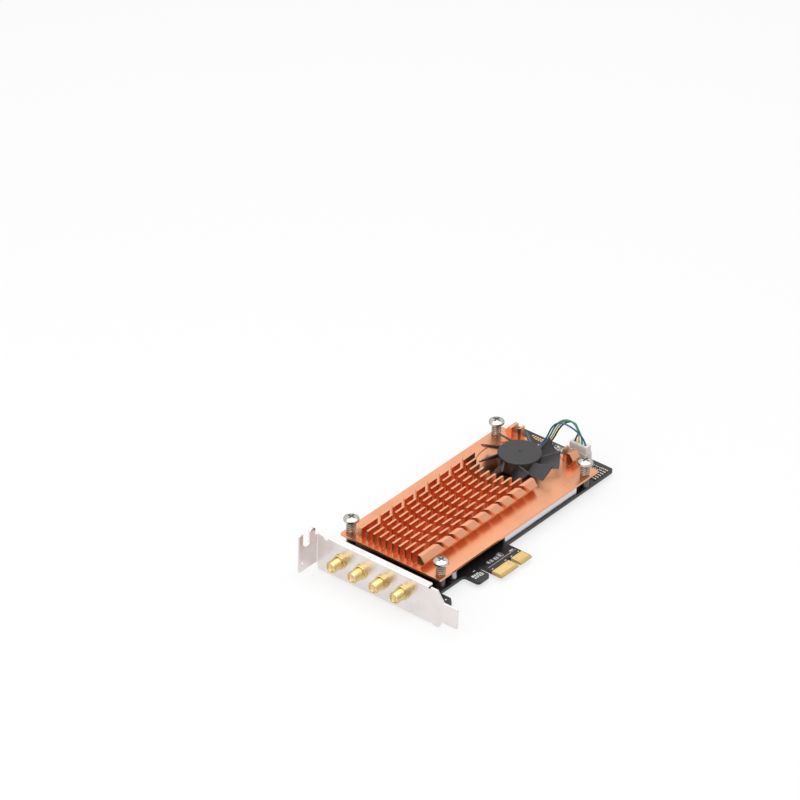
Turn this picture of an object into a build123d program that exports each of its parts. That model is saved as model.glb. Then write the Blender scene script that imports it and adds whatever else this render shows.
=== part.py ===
"""Low-profile wireless network card: board, bracket, antenna jacks, heatsink and fan.

Millimetres, +Z up, component face upwards. The origin is the middle of the key notch on the
contact edge, at the component face. +X runs from the bracket to the rear edge of the board and
+Y from the contact edge to the bracket's screw tab.
"""
import os
from math import cos, radians, sin, sqrt, tan

from build123d import *

os.makedirs("parts", exist_ok=True)

# Circuit board
board_t = 1.57
rear_strip = 12.7
base_overhang = 0.4
front_edge = 13.0
rear_edge = 14.0
board_corner_r = 1.7
root_r = 1.0
slot_round = 0.45
tab_front = -12.6
tab_rear = 8.6
key_w = 1.9
key_depth = 7.0
bevel_l = 1.2
bevel_d = 0.45
hook_front = -23.0
hook_rear = -14.7
hook_tip = 4.7
hook_r = 1.6
slot_end = 11.9
foot_rear = -39.9
foot_tip = 4.4
foot_chamfer = 2.3

# Gold contact pads
pad_w = 0.7
pad_l = 4.4
pad_t = 0.05
pad_pitch = 1.0
pads_front = 11
pads_rear = 7
pad_margin_key = 0.55

# Bracket
bracket_x = -56.3
sheet_t = 0.86
board_gap = 1.0
face_low = -2.5
face_top = 15.6
flange_w = 2.4
flange_start = 6.0
flange_end = 61.9
relief_w = 1.5
relief_d = 1.4
tongue_end = -10.5
tongue_low = 0.3
tongue_top = 10.5
tongue_root = -2.9
shoulder_y = 0.8
lug_y = 1.0
lug_half = 2.16
lug_drop = 0.8
lug_notch_w = 0.9
lug_notch_d = 0.6
edge_notch_y = 15.2
edge_notch_w = 0.9
edge_notch_d = 1.3
tongue_r = 0.8
fold_y = 68.63
fold_r = 0.5
screw_tab_depth = 12.1
screw_tab_low = 0.8
screw_tab_top = 19.8
screw_notch_w = 4.5
screw_notch_floor = 12.6
inner_post_w = 3.7
inner_post_gap = 1.3
tooling_hole_r = 0.9
tooling_inset = 2.3
tooling_rise = 4.3

# Antenna jacks
jack_count = 4
jack_first = 19.35
jack_pitch = 11.78
jack_axis_z = 6.5
jack_reach = 6.65
thread_r = 2.7
thread_chamfer = 0.3
groove_w = 0.6
groove_d = 0.3
socket_r = 2.0
socket_depth = 0.7
insulator_r = 1.8
insulator_seat = 2.6
contact_r = 0.64
contact_recess = 0.4
block_l = 6.2
block_w = 6.6
block_rise = 3.1
drop_x = 3.4
drop_bore_r = 1.2
drop_r = 0.45
leg_w = 0.9
leg_span = 4.6
leg_len = 2.2
hole_fit = 0.12
jack_hole_fit = 0.15
washer_t = 0.3
washer_r = 3.35
nut_t = 1.1
nut_af = 6.4
nut_corner_r = 3.45

# Heatsink
standoff_h = 4.85
base_t = 1.15
base_front = -39.7
base_length = 113.4
base_low = 13.3
base_width = 56.0
base_corner_r = 0.8
fin_h = 6.3
fin_t = 1.0
fin_pitch = 3.58
fin_setback = 1.8
fin_tail = 0.5
field_shift = 1.55
head_gap = 0.5
edge_fin_flat = 1.7
edge_fin_wing = 2.1
edge_fin_tip_h = 3.4
edge_fin_lip = 0.4
edge_fin_foot = 1.75
cut_w = 2.23
cut_pitch = 8.28
cut_last = 28.54
cut_margin = 3.8
cut_overrun = 1.0
cut_r = 25.0
bay_r = 20.0
bay_back = 19.6
bay_depth = 0.4
side_cut_front = 11.95
side_cut_rear = 13.9
gate_rows = 6

# Screws, springs and standoffs
screw_front_inset = 4.3
screw_rear_inset = 6.4
screw_side_inset = 2.8
screw_r = 1.0
screw_hole_fit = 0.25
head_r = 3.6
head_h = 3.2
head_dome = 1.3
head_cone = 1.3
collar_r = 2.3
quarter_turn = 90
recess_w = 0.9
recess_l = 3.6
recess_d = 1.2
spring_h = 4.8
spring_r = 1.95
spring_wire = 0.6
spring_turns = 3.0
standoff_r = 2.1
shank_r = 1.3

# Fan
hub_r = 10.1
hub_wall = 0.8
hub_h = 6.2
hub_top_t = 1.0
hub_edge_r = 0.6
dimple_r = 0.8
dimple_d = 0.2
hub_lift = 1.4
blade_count = 9
blade_r = 18.0
blade_t = 0.95
blade_rise = 2.5
blade_root_drop = 0.8
blade_tip_drop = 0.1
blade_twist = 19.5
blade_sweep = 17.0
blade_camber = 0.45
blade_first = -73.5
yoke_t = 0.4
magnet_t = 1.0
magnet_h = 3.6
air_gap = 0.4
shaft_r = 0.75
running_gap = 0.03
bearing_r = 1.6
bearing_h = 4.5
tube_wall = 0.9
plate_t = 0.9
plate_r = 8.8
thrust_t = 0.5
outlet_l = 1.6
outlet_w = 5.0
outlet_offset = 0.9
driver_t = 0.6
driver_r = 8.0
core_t = 2.4
core_ring = 1.4
arm_w = 2.2
shoe_t = 0.9
shoe_half_angle = 33.0
coil_t = 0.8
coil_gap = 0.2

# Fan connector and wires
wire_d = 0.8
wire_pitch = 0.88
turn_share = 0.45
pin_pitch = 2.0
pin_count = 4
plug_setback = 7.5
plug_rise = 16.2
pin_w = 0.5
pin_tail = 2.2
header_w = 4.5
header_end = 2.0
header_h = 6.5
header_wall = 0.7
header_floor = 1.2
plug_fit = 0.1
plug_top = 10.0
plug_cap = 0.35
entry_fit = 0.12
wire_seat = 1.0
wire_lift = 0.05
crimp_w = 1.3

# Parts on the board
can_gap = 5.0
can_length = 52.5
can_inset = 0.7
can_width = 46.0
can_t = 0.3
can_corner_r = 0.8
can_h = 3.9
chip_size = 14.0
chip_t = 1.0
pad_margin = 3.0
amp_size = 4.0
amp_t = 0.9
amp_gap = 1.2
capacitor_r = 2.0
capacitor_h = 4.3
capacitor_gap = 8.0
capacitor_inset = 2.7
small_l = 1.6
small_w = 0.8
small_t = 0.7
small_pitch = 1.75
small_row_pitch = 2.1
small_columns = 6
small_rows = 2
small_rear_gap = 3.6
small_edge_gap = 1.6
resistor_columns = 2
resistor_t = 0.45
strip_part_gap = 4.1
regulator_rise = 34.7
regulator_size = 3.0
regulator_t = 0.9
inductor_gap = 2.5
inductor_size = 4.0
inductor_r = 0.6
inductor_t = 2.0
memory_lead = 15.7
memory_rise = 26.0
memory_w = 4.0
memory_l = 5.0
memory_t = 1.5
crystal_rise = 10.0
crystal_w = 3.2
crystal_l = 2.5
crystal_r = 0.3
crystal_t = 0.8

# Places that follow from the sizes above
bracket_outer = bracket_x - sheet_t
board_front = bracket_x + board_gap
jack_front = bracket_outer - jack_reach
jack_ys = [jack_first + number * jack_pitch for number in range(jack_count)]
drop_at = bracket_x + drop_x
base_z = standoff_h
base_top = base_z + base_t
fin_top = base_top + fin_h
base_rear = base_front + base_length
base_high = base_low + base_width
board_rear = base_rear + rear_strip
board_top = base_high - base_overhang
fin_front = base_front + fin_setback
fin_rear = base_rear - fin_tail
fan_x = base_rear - bay_back
fan_y = (base_low + base_high) / 2 + field_shift
bay_floor = base_top - bay_depth
front_screw_x = base_front + screw_front_inset
rear_screw_x = base_rear - screw_rear_inset
screw_points = [
    (x, y)
    for x in (front_screw_x, rear_screw_x)
    for y in (base_low + screw_side_inset, base_high - screw_side_inset)
]
# As many fins as leave the screw heads free, and as many cross-cuts as the fins have room for
edge_fin_w = edge_fin_flat + edge_fin_wing
half_room = base_width / 2 - screw_side_inset - head_r - head_gap - field_shift
fin_rows = int(2 * (half_room - edge_fin_w + fin_t / 2) / fin_pitch) - 1
cut_count = int((fan_x - cut_last - base_front - cut_margin) / cut_pitch) + 1
head_z = base_top + spring_h
plate_top = bay_floor + plate_t
hub_z = bay_floor + hub_lift
hub_top = hub_z + hub_h
outlet_x = fan_x + plate_r + outlet_l
outlet_y = fan_y + outlet_offset
plug_x = base_rear + plug_setback
plug_y = base_low + plug_rise
pin_ys = [plug_y + (number - (pin_count - 1) / 2) * pin_pitch for number in range(pin_count)]
header_l = (pin_count - 1) * pin_pitch + 2 * header_end
plug_l = header_l - 2 * header_wall - 2 * plug_fit
plug_w = header_w - 2 * header_wall - 2 * plug_fit
wire_end = plug_top - wire_seat
fan_axis = Axis((fan_x, fan_y, 0), (0, 0, 1))


def panel(x1, x2, y1, y2, mode=Mode.ADD):
    """Rectangle between two x and two y values of the sketch."""
    with Locations(((x1 + x2) / 2, (y1 + y2) / 2)):
        Rectangle(x2 - x1, y2 - y1, mode=mode)


def corner(sketch, x, y):
    """Vertex of a sketch nearest to a place in it."""
    return sketch.vertices().sort_by_distance((x, y, 0))[0]


def finish(builder, name):
    """Label a piece and write it to its file."""
    builder.part.label = name
    export_step(builder.part, f"parts/{name}.step")


# Circuit board with contact tab, retention hook and front foot
with BuildPart() as board:
    with BuildSketch(Plane.XY.offset(-board_t)) as outline:
        panel(board_front, board_rear, rear_edge, board_top)
        panel(board_front, tab_rear, front_edge, rear_edge)
        panel(board_front, foot_rear, foot_tip, front_edge)
        panel(hook_front, hook_rear, hook_tip, front_edge)
        panel(hook_rear, tab_front, slot_end, front_edge)
        panel(tab_front, tab_rear, 0, front_edge)
        panel(-key_w / 2, key_w / 2, 0, key_depth, mode=Mode.SUBTRACT)
        fillet(
            [corner(outline, board_rear, rear_edge), corner(outline, board_rear, board_top)],
            board_corner_r,
        )
        fillet(
            [corner(outline, foot_rear, front_edge), corner(outline, tab_rear, rear_edge)], root_r
        )
        fillet(
            [
                corner(outline, hook_front, hook_tip),
                corner(outline, hook_rear, hook_tip),
                corner(outline, hook_front, front_edge),
            ],
            hook_r,
        )
        fillet(
            [corner(outline, hook_rear, slot_end), corner(outline, tab_front, slot_end)],
            slot_round * (tab_front - hook_rear),
        )
        fillet(
            [corner(outline, -key_w / 2, key_depth), corner(outline, key_w / 2, key_depth)],
            slot_round * key_w,
        )
        chamfer(corner(outline, foot_rear, foot_tip), foot_chamfer)
    extrude(amount=board_t)
    # The contact edge is bevelled on both faces
    with BuildSketch(Plane.YZ.offset(tab_front)):
        with BuildLine():
            Polyline((0, 0), (bevel_l, 0), (0, -bevel_d), close=True)
        make_face()
        with BuildLine():
            Polyline((0, -board_t), (bevel_l, -board_t), (0, bevel_d - board_t), close=True)
        make_face()
    extrude(amount=tab_rear - tab_front, mode=Mode.SUBTRACT)
    # Holes for the standoffs, the jacks and the header
    with BuildSketch(Plane.XY.offset(-board_t)):
        with Locations(*screw_points):
            Circle(shank_r + hole_fit)
        for y in jack_ys:
            with Locations((drop_at, y)):
                Circle(drop_r + hole_fit)
                with GridLocations(leg_span, leg_span, 2, 2):
                    Rectangle(leg_w + 2 * hole_fit, leg_w + 2 * hole_fit)
        for y in pin_ys:
            with Locations((plug_x, y)):
                Rectangle(pin_w + 2 * hole_fit, pin_w + 2 * hole_fit)
    extrude(amount=board_t, mode=Mode.SUBTRACT)
finish(board, "board")

# Gold contact pads on both faces of the tab
with BuildPart() as edge_contacts:
    pad_start = key_w / 2 + pad_margin_key
    pad_xs = [-pad_start - number * pad_pitch for number in range(pads_front)]
    pad_xs += [pad_start + number * pad_pitch for number in range(pads_rear)]
    for pad_z in (0, -board_t - pad_t):
        with BuildSketch(Plane.XY.offset(pad_z)):
            for x in pad_xs:
                panel(x - pad_w / 2, x + pad_w / 2, bevel_l, bevel_l + pad_l)
        extrude(amount=pad_t)
finish(edge_contacts, "edge_contacts")

# Folded bracket: face plate, side flange, screw tab
with BuildPart() as bracket:
    lug_low = face_low - lug_drop
    with BuildSketch(Plane.YZ.offset(bracket_outer)) as face:
        with BuildLine():
            Polyline(
                (lug_y - lug_half, tongue_low),
                (tongue_end, tongue_low),
                (tongue_end, tongue_top),
                (tongue_root, tongue_top),
                (shoulder_y, face_top),
                (flange_start - relief_w, face_top),
                (flange_start - relief_w, face_top - relief_d),
                (flange_start, face_top - relief_d),
                (flange_start, face_top),
                (flange_end, face_top),
                (flange_end, face_top - relief_d),
                (flange_end + relief_w, face_top - relief_d),
                (flange_end + 2 * relief_w, face_top),
                (fold_y, face_top),
                (fold_y, screw_tab_low),
                (fold_y - sheet_t, screw_tab_low),
                (fold_y - 2 * sheet_t, face_low),
                (lug_y + lug_half, face_low),
            )
            ThreePointArc(
                (lug_y + lug_half, face_low), (lug_y, lug_low), (lug_y - lug_half, tongue_low)
            )
        make_face()
        fillet(
            [corner(face, tongue_end, tongue_low), corner(face, tongue_end, tongue_top)], tongue_r
        )
        # Relief notches in the lower edge
        for y, width, depth in (
            (edge_notch_y, edge_notch_w, edge_notch_d),
            (lug_y + lug_half + lug_notch_w / 2, lug_notch_w, lug_notch_d),
        ):
            panel(y - width / 2, y + width / 2, face_low, face_low + depth, mode=Mode.SUBTRACT)
        with Locations(*[(y, jack_axis_z) for y in jack_ys]):
            Circle(thread_r + jack_hole_fit, mode=Mode.SUBTRACT)
    extrude(amount=sheet_t)
    with BuildSketch(Plane.XY.offset(face_top - sheet_t)):
        panel(bracket_outer, bracket_x + flange_w, flange_start, flange_end)
    extrude(amount=sheet_t)
    tab_x = bracket_outer - screw_tab_depth
    post_x = bracket_outer - inner_post_gap
    notch_x = post_x - inner_post_w
    with BuildSketch(Plane.XZ.offset(-fold_y)) as tab:
        panel(tab_x, post_x, screw_tab_low, screw_tab_top)
        panel(post_x, bracket_x, screw_tab_low, face_top)
        panel(notch_x - screw_notch_w, notch_x, screw_notch_floor, screw_tab_top, mode=Mode.SUBTRACT)
        fillet(
            [
                corner(tab, notch_x, screw_notch_floor),
                corner(tab, notch_x - screw_notch_w, screw_notch_floor),
            ],
            slot_round * screw_notch_w,
        )
        fillet(
            [corner(tab, notch_x, screw_tab_top), corner(tab, post_x, screw_tab_top)],
            slot_round * inner_post_w,
        )
        fillet(
            [corner(tab, tab_x, screw_tab_top), corner(tab, tab_x, screw_tab_low)], fold_r
        )
        with Locations((tab_x + tooling_inset, screw_tab_low + tooling_rise)):
            Circle(tooling_hole_r, mode=Mode.SUBTRACT)
    extrude(amount=sheet_t)
    fold_line = bracket.edges().filter_by(Axis.Z)
    fillet(fold_line.sort_by_distance((bracket_x, fold_y, face_top / 2))[0], fold_r + sheet_t)
    fold_line = bracket.edges().filter_by(Axis.Z)
    fillet(fold_line.sort_by_distance((bracket_outer, fold_y - sheet_t, face_top / 2))[0], fold_r)
    flange_line = bracket.edges().filter_by(Axis.Y)
    flange_mid = (flange_start + flange_end) / 2
    fillet(flange_line.sort_by_distance((bracket_outer, flange_mid, face_top))[0], fold_r)
finish(bracket, "bracket")

# Antenna jacks: turned barrel, square block on the board, four solder legs
for number, jack_y in enumerate(jack_ys, start=1):
    jack_axis = Axis((0, jack_y, jack_axis_z), (1, 0, 0))
    groove_x = bracket_outer - washer_t - nut_t
    with BuildPart() as antenna_jack:
        with BuildSketch(Plane.XY):
            panel(bracket_x, bracket_x + block_l, jack_y - block_w / 2, jack_y + block_w / 2)
        extrude(amount=jack_axis_z + block_rise)
        with BuildSketch(Plane.XY.offset(-leg_len)):
            with Locations((drop_at, jack_y)):
                with GridLocations(leg_span, leg_span, 2, 2):
                    Rectangle(leg_w, leg_w)
        extrude(amount=leg_len)
        with BuildSketch(Plane.XY.offset(jack_axis_z)):
            with BuildLine():
                Polyline(
                    (bracket_x, jack_y),
                    (bracket_x, jack_y + thread_r),
                    (groove_x, jack_y + thread_r),
                    (groove_x, jack_y + thread_r - groove_d),
                    (groove_x - groove_w, jack_y + thread_r - groove_d),
                    (groove_x - groove_w, jack_y + thread_r),
                    (jack_front + thread_chamfer, jack_y + thread_r),
                    (jack_front, jack_y + thread_r - thread_chamfer),
                    (jack_front, jack_y),
                    close=True,
                )
            make_face()
        revolve(axis=jack_axis)
        with BuildSketch(Plane.YZ.offset(jack_front)):
            with Locations((jack_y, jack_axis_z)):
                Circle(socket_r)
        extrude(amount=socket_depth, mode=Mode.SUBTRACT)
        with BuildSketch(Plane.YZ.offset(jack_front)):
            with Locations((jack_y, jack_axis_z)):
                Circle(insulator_r)
        extrude(amount=bracket_x + insulator_seat - jack_front, mode=Mode.SUBTRACT)
        with BuildSketch(Plane.XY):
            with Locations((drop_at, jack_y)):
                Circle(drop_bore_r)
        extrude(amount=jack_axis_z + drop_bore_r, mode=Mode.SUBTRACT)
    finish(antenna_jack, f"antenna_jack_{number}")

    with BuildPart() as jack_insulator:
        with BuildSketch(Plane.YZ.offset(jack_front + socket_depth)):
            with Locations((jack_y, jack_axis_z)):
                Circle(insulator_r)
                Circle(contact_r, mode=Mode.SUBTRACT)
        extrude(amount=bracket_x + insulator_seat - jack_front - socket_depth)
    finish(jack_insulator, f"jack_insulator_{number}")

    with BuildPart() as jack_contact:
        with BuildSketch(Plane.YZ.offset(jack_front + contact_recess)):
            with Locations((jack_y, jack_axis_z)):
                Circle(contact_r)
        extrude(amount=drop_at + drop_r - jack_front - contact_recess)
        with BuildSketch(Plane.XY.offset(-leg_len)):
            with Locations((drop_at, jack_y)):
                Circle(drop_r)
        extrude(amount=jack_axis_z + leg_len)
    finish(jack_contact, f"jack_contact_{number}")

# Washers and hexagon nuts that clamp the bracket
with BuildPart() as jack_washers:
    with BuildSketch(Plane.YZ.offset(bracket_outer - washer_t)):
        with Locations(*[(y, jack_axis_z) for y in jack_ys]):
            Circle(washer_r)
            Circle(thread_r + jack_hole_fit, mode=Mode.SUBTRACT)
    extrude(amount=washer_t)
finish(jack_washers, "jack_washers")

with BuildPart() as jack_nuts:
    for y in jack_ys:
        with BuildSketch(Plane.YZ.offset(bracket_outer - washer_t - nut_t)):
            with Locations((y, jack_axis_z)):
                RegularPolygon(nut_af / 2, 6, major_radius=False)
                Circle(nut_corner_r, mode=Mode.INTERSECT)
                Circle(thread_r, mode=Mode.SUBTRACT)
        extrude(amount=nut_t)
finish(jack_nuts, "jack_nuts")

# Heatsink: extruded fins, arc cross-cuts, round bay for the fan
with BuildPart() as heatsink:
    with BuildSketch(Plane.XY.offset(base_z)):
        with Locations(((base_front + base_rear) / 2, (base_low + base_high) / 2)):
            RectangleRounded(base_length, base_width, base_corner_r)
    extrude(amount=base_t)
    edge_inner = (fin_rows + 1) / 2 * fin_pitch - fin_t / 2
    edge_tip = edge_inner + edge_fin_w
    tip_z = base_top + edge_fin_tip_h
    with BuildSketch(Plane.YZ.offset(fin_front)):
        for row in range(fin_rows):
            y = fan_y + (row - (fin_rows - 1) / 2) * fin_pitch
            panel(y - fin_t / 2, y + fin_t / 2, base_top, fin_top)
        for side in (-1, 1):
            with BuildLine():
                Polyline(
                    (fan_y + side * edge_inner, base_top),
                    (fan_y + side * edge_inner, fin_top),
                    (fan_y + side * (edge_inner + edge_fin_flat), fin_top),
                    (fan_y + side * edge_tip, tip_z),
                    (fan_y + side * edge_tip, tip_z - edge_fin_lip),
                    (fan_y + side * (edge_inner + edge_fin_foot), base_top),
                    close=True,
                )
            make_face()
    extrude(amount=fin_rear - fin_front)
    # Each cross-cut lies between an arc and the same arc moved back by the width of the cut
    reach = edge_tip + cut_overrun
    sag = cut_r - sqrt(cut_r**2 - reach**2)
    for cut in range(cut_count):
        apex = fan_x - cut_last - cut * cut_pitch
        with BuildSketch(Plane.XY.offset(base_top)):
            with BuildLine():
                near_arc = ThreePointArc(
                    (apex + sag, fan_y - reach), (apex, fan_y), (apex + sag, fan_y + reach)
                )
                far_arc = ThreePointArc(
                    (apex + cut_w + sag, fan_y - reach),
                    (apex + cut_w, fan_y),
                    (apex + cut_w + sag, fan_y + reach),
                )
                Line(near_arc @ 0, far_arc @ 0)
                Line(near_arc @ 1, far_arc @ 1)
            make_face()
        extrude(amount=fin_h, mode=Mode.SUBTRACT)
    with BuildSketch(Plane.XY.offset(bay_floor)):
        with Locations((fan_x, fan_y)):
            Circle(bay_r)
    extrude(amount=fin_top - bay_floor, mode=Mode.SUBTRACT)
    # The edge fins are cut straight on both sides of the fan, and the bay is open to the rear
    gate_w = gate_rows * fin_pitch
    with BuildSketch(Plane.XY.offset(base_top)):
        panel(fan_x - side_cut_front, fan_x + side_cut_rear, fan_y - reach, fan_y + reach)
        panel(fan_x, base_rear, fan_y - gate_w / 2, fan_y + gate_w / 2)
    extrude(amount=fin_h, mode=Mode.SUBTRACT)
    with BuildSketch(Plane.XY.offset(base_z)):
        with Locations(*screw_points):
            Circle(screw_r + screw_hole_fit)
    extrude(amount=base_t, mode=Mode.SUBTRACT)
finish(heatsink, "heatsink")

# Threaded standoffs, riveted into the board
with BuildPart() as standoffs:
    with BuildSketch(Plane.XY):
        with Locations(*screw_points):
            Circle(standoff_r)
    extrude(amount=standoff_h)
    with BuildSketch(Plane.XY.offset(-board_t)):
        with Locations(*screw_points):
            Circle(shank_r)
    extrude(amount=board_t)
    with BuildSketch(Plane.XY.offset(-board_t)):
        with Locations(*screw_points):
            Circle(screw_r)
    extrude(amount=board_t + standoff_h, mode=Mode.SUBTRACT)
finish(standoffs, "standoffs")

# Domed screws with a cross recess
with BuildPart() as heatsink_screws:
    for x, y in screw_points:
        screw_axis = Axis((x, y, 0), (0, 0, 1))
        with BuildSketch(Plane.XZ.offset(-y)):
            with BuildLine():
                Line((x, 0), (x + screw_r, 0))
                Line((x + screw_r, 0), (x + screw_r, head_z))
                Line((x + screw_r, head_z), (x + collar_r, head_z))
                Line((x + collar_r, head_z), (x + head_r, head_z + head_cone))
                Line((x + head_r, head_z + head_cone), (x + head_r, head_z + head_h - head_dome))
                EllipticalCenterArc(
                    (x, head_z + head_h - head_dome),
                    head_r,
                    head_dome,
                    start_angle=0,
                    arc_size=quarter_turn,
                )
                Line((x, head_z + head_h), (x, 0))
            make_face()
        revolve(axis=screw_axis)
    with BuildSketch(Plane.XY.offset(head_z + head_h - recess_d)):
        with Locations(*screw_points):
            Rectangle(recess_l, recess_w)
            Rectangle(recess_w, recess_l)
    extrude(amount=recess_d, mode=Mode.SUBTRACT)
finish(heatsink_screws, "heatsink_screws")

# Coil springs between the heatsink and the screw heads
with BuildPart() as screw_springs:
    coil_h = spring_h - spring_wire
    for x, y in screw_points:
        with BuildLine():
            Helix(
                coil_h / spring_turns,
                coil_h,
                spring_r,
                center=(x, y, base_top + spring_wire / 2),
            )
        with BuildSketch(Plane((x + spring_r, y, base_top + spring_wire / 2), z_dir=(0, 1, 0))):
            Rectangle(spring_wire, spring_wire)
        sweep(is_frenet=True)
finish(screw_springs, "screw_springs")

# Fan plate with bearing tube and wire outlet
with BuildPart() as fan_base:
    tube_r = bearing_r + tube_wall
    with BuildSketch(Plane.XY.offset(bay_floor)):
        with Locations((fan_x, fan_y)):
            Circle(plate_r)
        panel(fan_x, outlet_x, outlet_y - outlet_w / 2, outlet_y + outlet_w / 2)
    extrude(amount=plate_t)
    with BuildSketch(Plane.XY.offset(bay_floor)):
        with Locations((fan_x, fan_y)):
            Circle(tube_r)
    extrude(amount=thrust_t + bearing_h)
    with BuildSketch(Plane.XY.offset(bay_floor + thrust_t)):
        with Locations((fan_x, fan_y)):
            Circle(bearing_r)
    extrude(amount=bearing_h, mode=Mode.SUBTRACT)
finish(fan_base, "fan_base")

with BuildPart() as fan_bearing:
    with BuildSketch(Plane.XY.offset(bay_floor + thrust_t)):
        with Locations((fan_x, fan_y)):
            Circle(bearing_r)
            Circle(shaft_r + running_gap, mode=Mode.SUBTRACT)
    extrude(amount=bearing_h)
finish(fan_bearing, "fan_bearing")

with BuildPart() as fan_driver_board:
    with BuildSketch(Plane.XY.offset(plate_top)):
        with Locations((fan_x, fan_y)):
            Circle(driver_r)
            Circle(tube_r, mode=Mode.SUBTRACT)
    extrude(amount=driver_t)
finish(fan_driver_board, "fan_driver_board")

# Stator: four-pole core and its coils
core_z = plate_top + driver_t + coil_t
core_r = hub_r - hub_wall - yoke_t - magnet_t - air_gap
with BuildPart() as stator_core:
    with BuildSketch(Plane.XY.offset(core_z)):
        with Locations((fan_x, fan_y)):
            Circle(core_r)
            Circle(core_r - shoe_t, mode=Mode.SUBTRACT)
            with PolarLocations(0, 4, start_angle=45):
                with Locations((core_r, 0)):
                    Rectangle(
                        core_r, 2 * core_r * sin(radians(45 - shoe_half_angle)), mode=Mode.SUBTRACT
                    )
            Circle(tube_r + core_ring)
            with PolarLocations(0, 2, angular_range=180):
                Rectangle(2 * core_r - shoe_t, arm_w)
            Circle(tube_r, mode=Mode.SUBTRACT)
    extrude(amount=core_t)
finish(stator_core, "stator_core")

coil_start = tube_r + core_ring + coil_gap
coil_l = sqrt((core_r - shoe_t - coil_gap) ** 2 - (arm_w / 2 + coil_t) ** 2) - coil_start
for number in range(4):
    turn = 90 * number
    outward = (cos(radians(turn)), sin(radians(turn)), 0)
    coil_plane = Plane(
        (fan_x + coil_start * outward[0], fan_y + coil_start * outward[1], core_z + core_t / 2),
        x_dir=(-outward[1], outward[0], 0),
        z_dir=outward,
    )
    with BuildPart() as stator_coil:
        with BuildSketch(coil_plane):
            Rectangle(arm_w + 2 * coil_t, core_t + 2 * coil_t)
            Rectangle(arm_w, core_t, mode=Mode.SUBTRACT)
        extrude(amount=coil_l)
    finish(stator_coil, f"stator_coil_{number + 1}")

# Rotor: hub cup with swept, twisted blades
with BuildPart() as fan_rotor:
    with BuildSketch(Plane.XZ.offset(-fan_y)) as cup:
        panel(fan_x, fan_x + hub_r, hub_z, hub_top)
        panel(fan_x, fan_x + hub_r - hub_wall, hub_z, hub_top - hub_top_t, mode=Mode.SUBTRACT)
        fillet(corner(cup, fan_x + hub_r, hub_top), hub_edge_r)
    revolve(axis=fan_axis)
    blade_root = hub_r - hub_wall / 2
    blade_low = bay_floor + blade_rise
    for blade in range(blade_count):
        for radius, sweep_angle, drop in (
            (blade_root, 0, blade_root_drop), (blade_r, blade_sweep, blade_tip_drop)
        ):
            angle = radians(blade_first + sweep_angle + blade * 360 / blade_count)
            outward = (cos(angle), sin(angle), 0)
            half = radius * tan(radians(blade_twist / 2))
            station = Plane(
                (fan_x + radius * outward[0], fan_y + radius * outward[1], 0),
                x_dir=(-outward[1], outward[0], 0),
                z_dir=outward,
            )
            blade_high = hub_top - drop
            middle = (blade_low + blade_high) / 2
            with BuildSketch(station):
                with BuildLine():
                    front = ThreePointArc(
                        (-half, blade_low), (blade_camber, middle), (half, blade_high)
                    )
                    back = ThreePointArc(
                        (-half - blade_t, blade_low),
                        (blade_camber - blade_t, middle),
                        (half - blade_t, blade_high),
                    )
                    Line(front @ 0, back @ 0)
                    Line(front @ 1, back @ 1)
                make_face()
        loft()
    with BuildSketch(Plane.XY.offset(hub_top - hub_top_t)):
        with Locations((fan_x, fan_y)):
            Circle(shaft_r)
    extrude(amount=hub_top_t / 2, mode=Mode.SUBTRACT)
    with BuildSketch(Plane.XY.offset(hub_top - dimple_d)):
        with Locations((fan_x, fan_y)):
            Circle(dimple_r)
    extrude(amount=dimple_d, mode=Mode.SUBTRACT)
finish(fan_rotor, "fan_rotor")

with BuildPart() as rotor_yoke:
    yoke_r = hub_r - hub_wall
    yoke_top = hub_top - hub_top_t
    with BuildSketch(Plane.XY.offset(hub_z)):
        with Locations((fan_x, fan_y)):
            Circle(yoke_r)
    extrude(amount=yoke_top - hub_z)
    with BuildSketch(Plane.XY.offset(hub_z)):
        with Locations((fan_x, fan_y)):
            Circle(yoke_r - yoke_t)
    extrude(amount=yoke_top - yoke_t - hub_z, mode=Mode.SUBTRACT)
    with BuildSketch(Plane.XY.offset(yoke_top - yoke_t)):
        with Locations((fan_x, fan_y)):
            Circle(shaft_r)
    extrude(amount=yoke_t, mode=Mode.SUBTRACT)
finish(rotor_yoke, "rotor_yoke")

with BuildPart() as rotor_magnet:
    with BuildSketch(Plane.XY.offset(yoke_top - yoke_t - magnet_h)):
        with Locations((fan_x, fan_y)):
            Circle(yoke_r - yoke_t)
            Circle(yoke_r - yoke_t - magnet_t, mode=Mode.SUBTRACT)
    extrude(amount=magnet_h)
finish(rotor_magnet, "rotor_magnet")

with BuildPart() as rotor_shaft:
    shaft_low = bay_floor + thrust_t + running_gap
    with BuildSketch(Plane.XY.offset(shaft_low)):
        with Locations((fan_x, fan_y)):
            Circle(shaft_r)
    extrude(amount=hub_top - hub_top_t / 2 - shaft_low)
finish(rotor_shaft, "rotor_shaft")

# Fan header on the board: open shroud and four square pins
with BuildPart() as fan_header:
    with BuildSketch(Plane.XY):
        with Locations((plug_x, plug_y)):
            Rectangle(header_w, header_l)
    extrude(amount=header_h)
    with BuildSketch(Plane.XY.offset(header_floor)):
        with Locations((plug_x, plug_y)):
            Rectangle(header_w - 2 * header_wall, header_l - 2 * header_wall)
    extrude(amount=header_h - header_floor, mode=Mode.SUBTRACT)
    with BuildSketch(Plane.XY):
        with Locations(*[(plug_x, y) for y in pin_ys]):
            Rectangle(pin_w, pin_w)
    extrude(amount=header_floor, mode=Mode.SUBTRACT)
finish(fan_header, "fan_header")

with BuildPart() as header_pins:
    with BuildSketch(Plane.XY.offset(-pin_tail)):
        with Locations(*[(plug_x, y) for y in pin_ys]):
            Rectangle(pin_w, pin_w)
    extrude(amount=pin_tail + header_h - header_wall)
finish(header_pins, "header_pins")

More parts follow.
